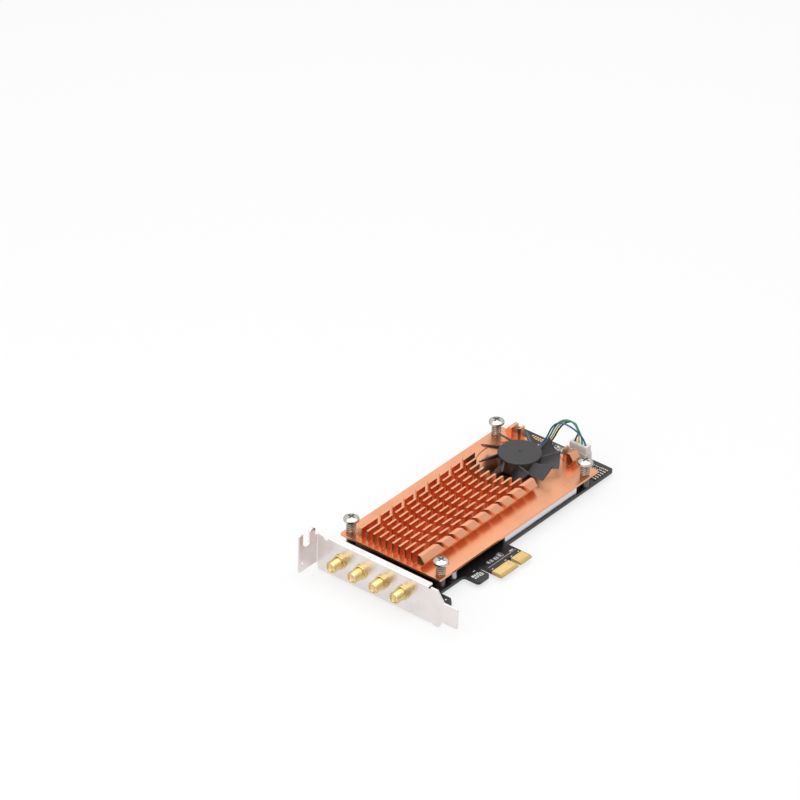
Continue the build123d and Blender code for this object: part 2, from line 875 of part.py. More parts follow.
# Plug: housing in the shroud, with a wider cap above it
with BuildPart() as fan_plug:
    with BuildSketch(Plane.XY.offset(header_floor)):
        with Locations((plug_x, plug_y)):
            Rectangle(plug_w, plug_l)
    extrude(amount=header_h - header_floor)
    with BuildSketch(Plane.XY.offset(header_h)):
        with Locations((plug_x, plug_y)):
            Rectangle(header_w - 2 * plug_cap, header_l - 2 * plug_cap)
    extrude(amount=plug_top - header_h)
    with BuildSketch(Plane.XY.offset(header_floor)):
        with Locations(*[(plug_x, y) for y in pin_ys]):
            Rectangle(crimp_w, crimp_w)
    extrude(amount=wire_end - header_floor, mode=Mode.SUBTRACT)
    with BuildSketch(Plane.XY.offset(wire_end)):
        with Locations(*[(plug_x, y) for y in pin_ys]):
            Circle(wire_d / 2 + entry_fit)
    extrude(amount=plug_top - wire_end, mode=Mode.SUBTRACT)
finish(fan_plug, "fan_plug")

with BuildPart() as plug_contacts:
    with BuildSketch(Plane.XY.offset(header_floor)):
        with Locations(*[(plug_x, y) for y in pin_ys]):
            Rectangle(crimp_w, crimp_w)
            Rectangle(pin_w, pin_w, mode=Mode.SUBTRACT)
    extrude(amount=header_h - header_wall - header_floor)
    with BuildSketch(Plane.XY.offset(header_h - header_wall)):
        with Locations(*[(plug_x, y) for y in pin_ys]):
            Rectangle(crimp_w, crimp_w)
    extrude(amount=wire_end - header_h + header_wall)
finish(plug_contacts, "plug_contacts")

# Fan wires: out of the fan plate, up behind the heatsink and down into the plug. Each has the
# turns of its rise, counted from its place at the rear edge of the heatsink, and of its fall,
# counted from its entry in the plug
wire_turns = {
    "blue": ([(1.45, 0, 0), (1.7, -4.4, 13.2)], [(-4.3, 6.9, 10.5), (-0.5, 0.1, 3.6)]),
    "green": ([(1.75, 0, 0), (3.0, -4.7, 13.9)], [(-2.2, 4.4, 12.2), (-0.1, -0.3, 3.6)]),
    "yellow": ([(2.1, 0, 0), (3.6, -4.6, 13.2)], [(-1.0, 2.8, 11.4), (0.3, -0.4, 3.6)]),
    "black": (
        [(2.45, 0, 0), (4.1, -4.3, 12.2)],
        [(-0.1, 1.1, 10.4), (1.3, -1.4, 4.8), (0.1, -0.1, 1.2)],
    ),
}
wire_z = bay_floor + wire_lift + wire_d / 2
for number, (colour, (rise, fall)) in enumerate(wire_turns.items()):
    wire_y = outlet_y + ((pin_count - 1) / 2 - number) * wire_pitch
    edge = Vector(base_rear, wire_y, wire_z)
    entry = Vector(plug_x, pin_ys[number], plug_top)
    route = [Vector(outlet_x, wire_y, wire_z)]
    route += [edge + Vector(*turn) for turn in rise]
    route += [entry + Vector(*turn) for turn in fall]
    route += [Vector(plug_x, pin_ys[number], wire_end)]
    radii = []
    for before, here, after in zip(route, route[1:], route[2:]):
        half_turn = (here - before).get_angle(after - here) / 2
        run = min((here - before).length, (after - here).length)
        radii.append(turn_share * run / tan(radians(half_turn)))
    with BuildPart() as fan_wire:
        with BuildLine():
            FilletPolyline(*route, radius=radii)
        with BuildSketch(Plane(route[0], z_dir=route[1] - route[0])):
            Circle(wire_d / 2)
        sweep()
    finish(fan_wire, f"fan_wire_{colour}")

# Radio under its shield, with heat-conducting pads below and above the lid
can_rear = rear_screw_x - standoff_r - can_gap
can_front = can_rear - can_length
can_low = rear_edge + can_inset
can_mid = (can_front + can_length / 2, can_low + can_width / 2)
with BuildPart() as shield_can:
    with BuildSketch(Plane.XY):
        with Locations(can_mid):
            RectangleRounded(can_length, can_width, can_corner_r)
    extrude(amount=can_h)
    with BuildSketch(Plane.XY):
        with Locations(can_mid):
            Rectangle(can_length - 2 * can_t, can_width - 2 * can_t)
    extrude(amount=can_h - can_t, mode=Mode.SUBTRACT)
finish(shield_can, "shield_can")

with BuildPart() as radio_chip:
    with BuildSketch(Plane.XY):
        with Locations(can_mid):
            Rectangle(chip_size, chip_size)
    extrude(amount=chip_t)
finish(radio_chip, "radio_chip")

with BuildPart() as chip_pad:
    with BuildSketch(Plane.XY.offset(chip_t)):
        with Locations(can_mid):
            Rectangle(chip_size, chip_size)
    extrude(amount=can_h - can_t - chip_t)
finish(chip_pad, "chip_pad")

with BuildPart() as heatsink_pad:
    with BuildSketch(Plane.XY.offset(can_h)):
        with Locations(can_mid):
            Rectangle(can_length - 2 * pad_margin, can_width - 2 * pad_margin)
    extrude(amount=standoff_h - can_h)
finish(heatsink_pad, "heatsink_pad")

# Amplifier chip behind each jack
amp_x = bracket_x + block_l + amp_gap + amp_size / 2
for number, jack_y in enumerate(jack_ys, start=1):
    with BuildPart() as front_end:
        with BuildSketch(Plane.XY):
            with Locations((amp_x, jack_y)):
                Rectangle(amp_size, amp_size)
        extrude(amount=amp_t)
    finish(front_end, f"front_end_{number}")

with BuildPart() as filter_capacitor:
    with BuildSketch(Plane.XY):
        with Locations((front_screw_x + capacitor_gap, front_edge + capacitor_inset)):
            Circle(capacitor_r)
    extrude(amount=capacitor_h)
finish(filter_capacitor, "filter_capacitor")

# Small parts in rows at the rear corner of the board
small_xs = [board_rear - small_rear_gap - number * small_pitch for number in range(small_columns)]
row_y = rear_edge + small_edge_gap
with BuildPart() as chip_capacitors:
    with BuildSketch(Plane.XY):
        for row in range(small_rows):
            with Locations(*[(x, row_y + row * small_row_pitch) for x in small_xs]):
                Rectangle(small_w, small_l)
    extrude(amount=small_t)
finish(chip_capacitors, "chip_capacitors")

with BuildPart() as chip_resistors:
    with BuildSketch(Plane.XY):
        for row in range(small_rows, 2 * small_rows):
            with Locations(*[(x, row_y + row * small_row_pitch) for x in small_xs[:resistor_columns]]):
                Rectangle(small_w, small_l)
    extrude(amount=resistor_t)
finish(chip_resistors, "chip_resistors")

# Power parts on the strip behind the heatsink
strip_x = base_rear + strip_part_gap
regulator_y = base_low + regulator_rise
inductor_y = regulator_y + (regulator_size + inductor_size) / 2 + inductor_gap
with BuildPart() as voltage_regulator:
    with BuildSketch(Plane.XY):
        with Locations((strip_x, regulator_y)):
            Rectangle(regulator_size, regulator_size)
    extrude(amount=regulator_t)
finish(voltage_regulator, "voltage_regulator")

with BuildPart() as power_inductor:
    with BuildSketch(Plane.XY):
        with Locations((strip_x, inductor_y)):
            RectangleRounded(inductor_size, inductor_size, inductor_r)
    extrude(amount=inductor_t)
finish(power_inductor, "power_inductor")

# Memory chip and crystal ahead of the shield
memory_x = can_front - memory_lead
with BuildPart() as flash_memory:
    with BuildSketch(Plane.XY):
        with Locations((memory_x, rear_edge + memory_rise)):
            Rectangle(memory_w, memory_l)
    extrude(amount=memory_t)
finish(flash_memory, "flash_memory")

with BuildPart() as crystal:
    with BuildSketch(Plane.XY):
        with Locations((memory_x, rear_edge + crystal_rise)):
            RectangleRounded(crystal_w, crystal_l, crystal_r)
    extrude(amount=crystal_t)
finish(crystal, "crystal")
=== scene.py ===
"""Looks of a low-profile wireless network card: finishes, rounded edges and small parts.

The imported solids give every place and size. The pieces made here stay inside them.
"""
from math import cos, pi, radians, sin

import bpy
from bpy.props import FloatProperty, FloatVectorProperty, PointerProperty
from mathutils import Matrix, Vector


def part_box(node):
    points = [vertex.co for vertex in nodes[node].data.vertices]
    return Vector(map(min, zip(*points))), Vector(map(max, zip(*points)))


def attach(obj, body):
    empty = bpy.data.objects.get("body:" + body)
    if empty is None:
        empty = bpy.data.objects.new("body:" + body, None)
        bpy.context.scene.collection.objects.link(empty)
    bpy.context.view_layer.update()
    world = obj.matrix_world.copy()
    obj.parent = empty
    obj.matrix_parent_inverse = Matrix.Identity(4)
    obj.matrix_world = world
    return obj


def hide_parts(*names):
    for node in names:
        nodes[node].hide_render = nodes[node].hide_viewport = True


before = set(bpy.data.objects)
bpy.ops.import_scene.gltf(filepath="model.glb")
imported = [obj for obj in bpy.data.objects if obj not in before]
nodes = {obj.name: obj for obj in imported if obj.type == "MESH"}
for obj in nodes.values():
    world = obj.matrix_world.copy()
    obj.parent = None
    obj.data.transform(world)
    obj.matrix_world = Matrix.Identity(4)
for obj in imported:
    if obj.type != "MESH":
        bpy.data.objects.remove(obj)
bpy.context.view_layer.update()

bl_info = {
    "name": "Wireless Network Card",
    "version": (1, 0, 0),
    "blender": (4, 5, 0),
    "location": "3D View > Sidebar > Card",
    "description": "Finishes and details of a fan-cooled wireless network card",
    "category": "Object",
}

MM = 0.001


def length(name, description, default):
    """Property for a length in metres."""
    return FloatProperty(name=name, description=description, default=default, unit="LENGTH", precision=5)


def angle(name, description, default):
    """Property for an angle, given in degrees."""
    return FloatProperty(name=name, description=description, default=radians(default), unit="ROTATION")


def share(name, description, default):
    """Property for a plain number."""
    return FloatProperty(name=name, description=description, default=default)


def tint(name, description, default):
    """Property for a colour."""
    return FloatVectorProperty(
        name=name, description=description, default=default, subtype="COLOR", size=3, min=0, max=1
    )


class CardSizes(bpy.types.PropertyGroup):
    """Sizes of the details that are added to the solids."""

    fin_round: length("Fin rounding", "Edge rounding of the heatsink", 0.00012)
    sheet_round: length("Sheet rounding", "Edge rounding of the bracket", 0.00012)
    pad_round: length("Pad rounding", "Edge rounding of the contact pads", 0.00002)
    nut_round: length("Nut rounding", "Edge rounding of the jack nuts", 0.00018)
    can_round: length("Can rounding", "Edge rounding of the shield and the inductor", 0.0002)
    capacitor_round: length("Capacitor rounding", "Edge rounding of the round capacitor", 0.0003)
    package_round: length("Package rounding", "Edge rounding of the black chips", 0.00008)
    metal_round: length("Hardware rounding", "Edge rounding of nuts, screws and posts", 0.0001)
    plastic_round: length("Plastic rounding", "Edge rounding of fan, plug and header", 0.00015)
    thread_r: length("Thread radius", "Outer radius of the antenna thread", 0.0027)
    thread_pitch: length("Thread pitch", "Advance of the antenna thread per turn", 0.000706)
    thread_depth: length("Thread depth", "Depth of the antenna thread", 0.00024)
    thread_flank: share("Thread flank", "Half width of the thread groove as a share of the pitch", 0.46)
    thread_start: length("Thread start", "From the nut to the first turn of the thread", 0.0006)
    wire_d: length("Wire diameter", "Outer diameter of the fan wires", 0.0008)
    spring_wire: length("Spring wire", "Wire diameter of the screw springs", 0.00056)
    head_r: length("Screw head", "Radius of a screw head", 0.0036)
    spring_turns: share("Spring turns", "Turns of each screw spring", 4.0)
    print_t: length("Print thickness", "Thickness of the printed marks on the board", 0.00002)
    bare_edge: length("Bare edge", "How far the contact edge is free of solder mask", 0.0057)
    bare_front: length("Bare start", "Where the contact tab begins along the board", -0.0128)
    test_pad_r: length("Test pad", "Radius of a test pad", 0.0005)
    test_pad_inset: length("Test pad inset", "From the rear edge of the board to the test pads", 0.0020)
    test_pad_y: length("Test pad row", "Place of the first test pad along the rear edge", 0.0530)
    test_pad_step_x: length("Test pad column", "Step between the two columns of test pads", 0.0013)
    test_pad_step_y: length("Test pad step", "Step between test pads along the rear edge", 0.00135)
    print_gap: length("Print gap", "From the fan header to the line printed round it", 0.0005)
    line_w: length("Print line", "Width of a printed line", 0.00016)
    solder_r: length("Solder radius", "Radius of a solder joint on the board", 0.00085)
    solder_tip: length("Solder tip", "How far a leg ends below its solder joint", 0.00004)
    leg_offset: length("Leg offset", "From the middle leg of a jack to its corner legs", 0.0023)
    contact_half: length("Contact half", "Half the width of a jack's middle leg", 0.00045)
    pin_half: length("Pin half", "Half the width of a header pin", 0.00025)
    chip_w: length("Chip width", "Width of a small chip part", 0.0008)
    chip_l: length("Chip length", "Length of a small chip part", 0.0016)
    chip_cap: length("Chip end", "Length of a chip part's metal end", 0.00035)
    chip_skin: length("Chip skin", "How far the metal ends stand out", 0.00002)
    chip_round: length("Chip rounding", "Edge rounding of a chip part's body", 0.00004)
    end_round: length("Chip end rounding", "Edge rounding of a chip part's metal end", 0.00006)


class CardColours(bpy.types.PropertyGroup):
    """Colours of the finishes."""

    copper: tint("Heatsink", "Copper-coloured anodised aluminium", (0.80, 0.375, 0.212))
    mask: tint("Board", "Black solder mask", (0.012, 0.0115, 0.012))
    laminate: tint("Laminate", "Bare board at the contact edge", (0.52, 0.36, 0.12))
    print_white: tint("Print", "White print on the board", (0.80, 0.80, 0.78))
    gold: tint("Gold", "Gold plating of the antenna jacks", (0.79, 0.61, 0.29))
    pad_gold: tint("Contact gold", "Gold plating of the contact pads", (0.88, 0.62, 0.26))
    nickel: tint("Nickel sheet", "Bright nickel plating of the bracket", (0.83, 0.775, 0.76))
    hardware: tint("Nickel hardware", "Plating of the screws", (0.56, 0.53, 0.50))
    spring: tint("Springs", "Bright steel of the screw springs", (0.40, 0.37, 0.33))
    posts: tint("Posts", "Posts between the board and the heatsink", (0.13, 0.12, 0.11))
    tin: tint("Tinplate", "Radio shield", (0.74, 0.72, 0.76))
    fan_black: tint("Fan plastic", "Black moulded fan", (0.022, 0.020, 0.022))
    nylon: tint("Nylon", "Plug and header", (0.74, 0.72, 0.69))
    # Partly the insulator's own ivory and partly painted reflection: the colour is pushed towards gold to
    # stand in for the gold-plated bore shining on it.
    insulator: tint("Insulator", "Ivory insulator in the jacks", (0.80, 0.62, 0.36))
    can: tint("Can", "Aluminium of the round capacitor and the crystal", (0.46, 0.44, 0.48))
    solder: tint("Solder", "Solder joints", (0.66, 0.66, 0.68))
    pin_tin: tint("Pins", "Tinned pins of the fan connector", (0.70, 0.69, 0.66))
    steel: tint("Motor steel", "Yoke, shaft and core of the fan motor", (0.42, 0.42, 0.43))
    magnet: tint("Magnet", "Ring magnet of the fan motor", (0.05, 0.05, 0.055))
    bronze: tint("Bearing", "Sintered bronze bearing of the fan", (0.56, 0.34, 0.16))
    enamel: tint("Winding", "Enamelled copper wire of the fan motor", (0.60, 0.20, 0.07))
    driver: tint("Driver board", "Green board of the fan motor", (0.02, 0.16, 0.06))
    ferrite: tint("Ferrite", "Body of the power inductor", (0.06, 0.06, 0.062))
    heat_pad: tint("Heat pad", "Soft pads above and below the shield", (0.30, 0.32, 0.36))
    chip_ends: tint("Chip ends", "Metal ends of the chip parts", (0.72, 0.72, 0.71))
    resistor: tint("Resistor film", "Dark face of the chip resistors", (0.03, 0.03, 0.032))
    chip_black: tint("Chip package", "Black moulded chips", (0.02, 0.02, 0.021))
    ceramic: tint("Ceramic", "Chip capacitors", (0.42, 0.31, 0.20))
    wire_blue: tint("Blue wire", "Insulation of the first fan wire", (0.010, 0.120, 0.330))
    wire_green: tint("Green wire", "Insulation of the second fan wire", (0.015, 0.270, 0.190))
    wire_yellow: tint("Yellow wire", "Insulation of the third fan wire", (0.650, 0.560, 0.060))
    wire_black: tint("Black wire", "Insulation of the fourth fan wire", (0.025, 0.022, 0.018))


class CardStage(bpy.types.PropertyGroup):
    """Camera, floor and light."""

    azimuth: angle("Azimuth", "Camera turn about the vertical", -51.503)
    elevation: angle("Elevation", "Camera height angle", 32.886)
    roll: angle("Roll", "Camera turn about its own line of sight", 1.224)
    distance: length("Distance", "Camera distance", 2.31155)
    lens: share("Lens", "Focal length in millimetres on a 36 mm sensor", 235.95)
    floor_z: length("Floor", "Height of the floor", -0.00335)
    world: share("World light", "Strength of the even light from all sides", 0.55)
    key: share("Key light", "Power of the large light from above", 9.5)
    side: share("Side light", "Power of the light on the bracket side", 4.5)
    key_size: length("Key light size", "Width of the large light from above", 1.5)
    side_size: length("Side light size", "Width of the light on the bracket side", 1.2)
    floor_size: length("Floor size", "Width of the floor", 8.0)
    floor_colour: tint("Floor colour", "Pale floor", (0.86, 0.86, 0.86))
    floor_white: share("Floor white", "Share of plain white that the camera sees on the floor", 0.7)
    band_r: length("Surround radius", "Radius of the dark band round the studio", 1.6)
    band_h: length("Surround height", "Height of the dark band round the studio", 0.30)
    band_z: length("Surround level", "Level of the middle of the dark band", 0.15)
    band_colour: tint("Surround", "Colour of the dark band round the studio", (0.05, 0.05, 0.05))


LOOK_AT = Vector((9.997, 76.834, 47.897)) * MM
KEY_PLACE = (0.1, 0.0, 1.1)
SIDE_PLACE = (-0.9, 0.1, 0.55)


def deselect():
    """Leave edit mode with nothing selected."""
    if bpy.context.object and bpy.context.object.mode != "OBJECT":
        bpy.ops.object.mode_set(mode="OBJECT")
    bpy.ops.object.select_all(action="DESELECT")


def pick(obj):
    """Make an object the only selected one."""
    deselect()
    obj.hide_set(False)
    obj.select_set(True)
    bpy.context.view_layer.objects.active = obj


def edit(obj):
    """Open an object with all of its mesh selected."""
    pick(obj)
    bpy.ops.object.mode_set(mode="EDIT")
    bpy.ops.mesh.select_all(action="SELECT")


def close_edit():
    """Turn the faces outwards and go back to object mode."""
    bpy.ops.mesh.select_all(action="SELECT")
    bpy.ops.mesh.normals_make_consistent(inside=False)
    bpy.ops.object.mode_set(mode="OBJECT")


def settle(obj, material, stands_for=(), body="card"):
    """Give a finished piece its material, its body and the solids that it stands for."""
    obj.data.materials.clear()
    obj.data.materials.append(material)
    keep(obj, stands_for, body)


def keep(obj, stands_for=(), body="card"):
    """Hang a piece that already has its materials on its body."""
    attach(obj, body)
    if stands_for:
        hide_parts(*stands_for)


def paint(material, *names):
    """Give solids that stay as they are a finish."""
    for name in names:
        nodes[name].data.materials.clear()
        nodes[name].data.materials.append(material)


def joined_copy(node, name):
    """Copy a solid and join its loose triangles into clean faces."""
    copy = bpy.data.objects.new(name, nodes[node].data.copy())
    bpy.context.scene.collection.objects.link(copy)
    edit(copy)
    bpy.ops.mesh.remove_doubles(threshold=2e-6)
    bpy.ops.mesh.dissolve_limited(angle_limit=radians(0.5))
    bpy.ops.object.mode_set(mode="OBJECT")
    return copy


def round_edges(obj, width, segments=2, limit=35):
    """Round the sharp edges of a piece and shade it smooth."""
    pick(obj)
    bevel = obj.modifiers.new("Rounding", "BEVEL")
    bevel.width = width
    bevel.segments = segments
    bevel.limit_method = "ANGLE"
    bevel.angle_limit = radians(limit)
    bpy.ops.object.modifier_apply(modifier=bevel.name)
    bpy.ops.object.shade_smooth_by_angle(angle=radians(limit))
    even = obj.modifiers.new("Even shading", "WEIGHTED_NORMAL")
    even.keep_sharp = True
    bpy.ops.object.modifier_apply(modifier=even.name)


def rounded_copy(node, name, width, segments=2, limit=35):
    """Copy of a solid with rounded edges."""
    copy = joined_copy(node, name)
    round_edges(copy, width, segments, limit)
    return copy


def block(name, low, high, rounding):
    """Bevelled block between two corners."""
    low, high = Vector(low), Vector(high)
    deselect()
    bpy.ops.mesh.primitive_cube_add(size=1, location=(low + high) / 2, scale=high - low)
    obj = bpy.context.object
    obj.name = name
    bpy.ops.object.transform_apply(location=True, rotation=True, scale=True)
    edit(obj)
    if rounding:
        bpy.ops.mesh.bevel(offset=rounding, segments=2, affect="EDGES")
    close_edit()
    bpy.ops.object.shade_smooth_by_angle(angle=radians(35))
    return obj


def turned(name, centre, stations, vertices=24):
    """Turn a closed piece about an upright line from its stations, each a height and a radius."""
    height, radius = stations[0]
    deselect()
    bpy.ops.mesh.primitive_circle_add(
        vertices=vertices, radius=radius, fill_type="NGON", location=(centre[0], centre[1], height)
    )
    obj = bpy.context.object
    obj.name = name
    bpy.ops.object.transform_apply(location=True, rotation=True, scale=True)
    edit(obj)
    for next_height, next_radius in stations[1:]:
        bpy.ops.mesh.extrude_region_move(
            TRANSFORM_OT_translate={"value": (0, 0, next_height - height)}
        )
        factor = next_radius / radius
        bpy.ops.transform.resize(
            value=(factor, factor, 1), center_override=(centre[0], centre[1], next_height)
        )
        height, radius = next_height, next_radius
    close_edit()
    bpy.ops.object.shade_smooth_by_angle(angle=radians(35))
    return obj


def moved_copy(obj, name, offset):
    """Copy of a piece with its own mesh, moved by an offset."""
    copy = bpy.data.objects.new(name, obj.data.copy())
    copy.data.transform(Matrix.Translation(offset))
    bpy.context.scene.collection.objects.link(copy)
    return copy


def join(pieces, name):
    """Join pieces into one."""
    deselect()
    for piece in pieces:
        piece.select_set(True)
    bpy.context.view_layer.objects.active = pieces[0]
    if len(pieces) > 1:
        bpy.ops.object.join()
    pieces[0].name = name
    return pieces[0]


class Finish:
    """Procedural material that is built up from patterns in the piece's own coordinates."""

    def __init__(self, name, colour, metallic, roughness):
        self.material = bpy.data.materials.new(name)
        self.material.use_nodes = True
        self.tree = self.material.node_tree
        self.shader = self.tree.nodes["Principled BSDF"]
        self.shader.inputs["Base Color"].default_value = (*colour, 1)
        self.shader.inputs["Metallic"].default_value = metallic
        self.shader.inputs["Roughness"].default_value = roughness
        self.place = self.tree.nodes.new("ShaderNodeTexCoord").outputs["Object"]
        self.height = None

    def add(self, kind, **values):
        """Add a node, with settings by their own name and sockets by theirs."""
        made = self.tree.nodes.new("ShaderNode" + kind)
        for key, value in values.items():
            socket = key.replace("_", " ")
            if hasattr(made, key):
                setattr(made, key, value)
            elif isinstance(value, bpy.types.NodeSocket):
                self.tree.links.new(value, made.inputs[socket])
            else:
                made.inputs[socket].default_value = value
        return made

    def noise(self, scale, stretch=(1, 1, 1), detail=3.0):
        """Cloudy pattern, drawn out along the axes with a small stretch."""
        turned_place = self.add("Mapping", Vector=self.place, Scale=stretch)
        return self.add(
            "TexNoise", Vector=turned_place.outputs[0], Scale=scale, Detail=detail
        ).outputs["Fac"]

    def between(self, value, start, stop, low, high):
        """Map a pattern's range onto another."""
        made = self.add("MapRange", Value=value)
        for socket, number in zip(("From Min", "From Max", "To Min", "To Max"), (start, stop, low, high)):
            made.inputs[socket].default_value = number
        return made.outputs["Result"]

    def math(self, operation, first, second):
        """Combine two values, each a socket or a number."""
        made = self.add("Math", operation=operation)
        for socket, value in zip(made.inputs, (first, second)):
            if isinstance(value, bpy.types.NodeSocket):
                self.tree.links.new(value, socket)
            else:
                socket.default_value = value
        return made.outputs[0]

    def mix(self, value, first, second):
        """Blend two colours by a pattern."""
        made = self.add("Mix", data_type="RGBA")
        self.tree.links.new(value, made.inputs[0])
        for socket, colour in ((made.inputs[6], first), (made.inputs[7], second)):
            if isinstance(colour, bpy.types.NodeSocket):
                self.tree.links.new(colour, socket)
            else:
                socket.default_value = (*colour, 1)
        return made.outputs[2]

    def colour(self, value, first, second):
        """Blend the base colour by a pattern."""
        self.tree.links.new(self.mix(value, first, second), self.shader.inputs["Base Color"])

    def rough(self, value, low, high):
        """Vary the roughness by a pattern."""
        self.tree.links.new(self.between(value, 0.3, 0.7, low, high), self.shader.inputs["Roughness"])

    def bump(self, value, strength, distance):
        """Raise the surface by a pattern, on top of earlier bumps."""
        made = self.add("Bump", Height=value, Strength=strength, Distance=distance)
        if self.height:
            self.tree.links.new(self.height, made.inputs["Normal"])
        self.height = made.outputs["Normal"]
        self.tree.links.new(self.height, self.shader.inputs["Normal"])


def shade(colour, factor):
    """Colour made lighter or darker."""
    return tuple(min(1.0, channel * factor) for channel in colour)


def brushed_metal(name, colour, roughness, lines, strength=0.05):
    """Plated or bare metal with fine lines along one axis, cloudy gloss and a slight stain."""
    finish = Finish(name, colour, 1.0, roughness)
    clouds = finish.noise(90, detail=4)
    finish.colour(finish.between(clouds, 0.35, 0.7, 0, 1), shade(colour, 0.93), shade(colour, 1.04))
    fine = finish.noise(2600, lines, 2)
    finish.rough(clouds, roughness * 0.75, roughness * 1.3)
    finish.bump(fine, strength, 0.00004)
    finish.bump(clouds, 0.03, 0.0004)
    return finish.material


def moulded_plastic(name, colour, roughness, strength=0.12):
    """Moulded plastic with a fine spark-eroded grain and uneven gloss."""
    finish = Finish(name, colour, 0.0, roughness)
    grain = finish.noise(5200, detail=2)
    clouds = finish.noise(140, detail=3)
    finish.colour(clouds, shade(colour, 0.85), shade(colour, 1.15))
    finish.rough(clouds, roughness * 0.8, roughness * 1.2)
    finish.bump(grain, strength, 0.00003)
    return finish.material


def anodised(colours):
    """Dyed anodised aluminium, with lines of the extrusion along its length."""
    colour = tuple(colours.copper)
    finish = Finish("anodised_copper", colour, 1.0, 0.27)
    clouds = finish.noise(70, detail=4)
    streaks = finish.noise(900, (0.04, 1, 1), 3)
    tone = finish.mix(finish.between(clouds, 0.3, 0.7, 0, 1), shade(colour, 0.94), shade(colour, 1.03))
    finish.colour(finish.between(streaks, 0.45, 0.75, 0, 0.25), tone, (0.84, 0.46, 0.30))
    finish.rough(clouds, 0.27, 0.32)
    finish.bump(streaks, 0.04, 0.00005)
    finish.bump(finish.noise(4200, detail=1), 0.025, 0.00002)
    return finish.material


def solder_mask(sizes, colours):
    """Black solder mask over faint copper tracks, and bare laminate at the contact edge."""
    colour = tuple(colours.mask)
    finish = Finish("solder_mask", colour, 0.0, 0.34)
    cells = finish.add(
        "TexBrick", Vector=finish.place, Scale=190.0, Mortar_Size=0.018, Brick_Width=1.3, Row_Height=0.34
    ).outputs["Fac"]
    zones = finish.between(finish.noise(55, detail=1), 0.52, 0.56, 0, 1)
    tracks = finish.math("MULTIPLY", cells, zones)
    mask = finish.mix(tracks, colour, shade(colour, 1.9))
    axes = finish.add("SeparateXYZ", Vector=finish.place).outputs
    bare = finish.math("LESS_THAN", axes["Y"], sizes.bare_edge)
    bare = finish.math("MULTIPLY", bare, finish.math("GREATER_THAN", axes["X"], sizes.bare_front))
    weave = finish.add("TexWave", Vector=finish.place, Scale=900.0, Distortion=2.0).outputs["Fac"]
    laminate = finish.mix(weave, shade(colours.laminate, 0.85), shade(colours.laminate, 1.1))
    finish.colour(bare, mask, laminate)
    finish.rough(finish.noise(240, detail=3), 0.28, 0.42)
    finish.bump(tracks, 0.25, 0.00003)
    finish.bump(finish.noise(3000, detail=2), 0.05, 0.00002)
    return finish.material


def wire_insulation(name, colour):
    """Soft glossy insulation with slight unevenness."""
    finish = Finish(name, colour, 0.0, 0.32)
    clouds = finish.noise(420, detail=2)
    finish.colour(clouds, shade(colour, 0.88), shade(colour, 1.15))
    finish.rough(clouds, 0.26, 0.4)
    finish.bump(finish.noise(2500, detail=2), 0.06, 0.00003)
    return finish.material


def translucent_nylon(colours):
    """Milky nylon that lets some light in."""
    colour = tuple(colours.nylon)
    finish = Finish("nylon", colour, 0.0, 0.38)
    finish.shader.inputs["Subsurface Weight"].default_value = 0.35
    finish.shader.inputs["Subsurface Radius"].default_value = (0.0012, 0.0011, 0.001)
    finish.shader.inputs["Subsurface Scale"].default_value = 1.0
    clouds = finish.noise(260, detail=3)
    finish.colour(clouds, shade(colour, 0.94), shade(colour, 1.05))
    finish.rough(clouds, 0.3, 0.46)
    finish.bump(finish.noise(3800, detail=2), 0.08, 0.00003)
    return finish.material


def matte_coat(name, colour):
    """Matte ink or paint with fine specks."""
    finish = Finish(name, colour, 0.0, 0.6)
    specks = finish.noise(3500, detail=2)
    finish.colour(specks, shade(colour, 0.8), shade(colour, 1.1))
    finish.bump(specks, 0.2, 0.00002)
    return finish.material


def driver_green(colours):
    """Green board of the fan driver."""
    colour = tuple(colours.driver)
    finish = Finish("driver_green", colour, 0.0, 0.35)
    spots = finish.noise(900, detail=2)
    finish.colour(spots, shade(colour, 0.75), shade(colour, 1.25))
    finish.rough(spots, 0.3, 0.45)
    finish.bump(spots, 0.1, 0.00003)
    return finish.material


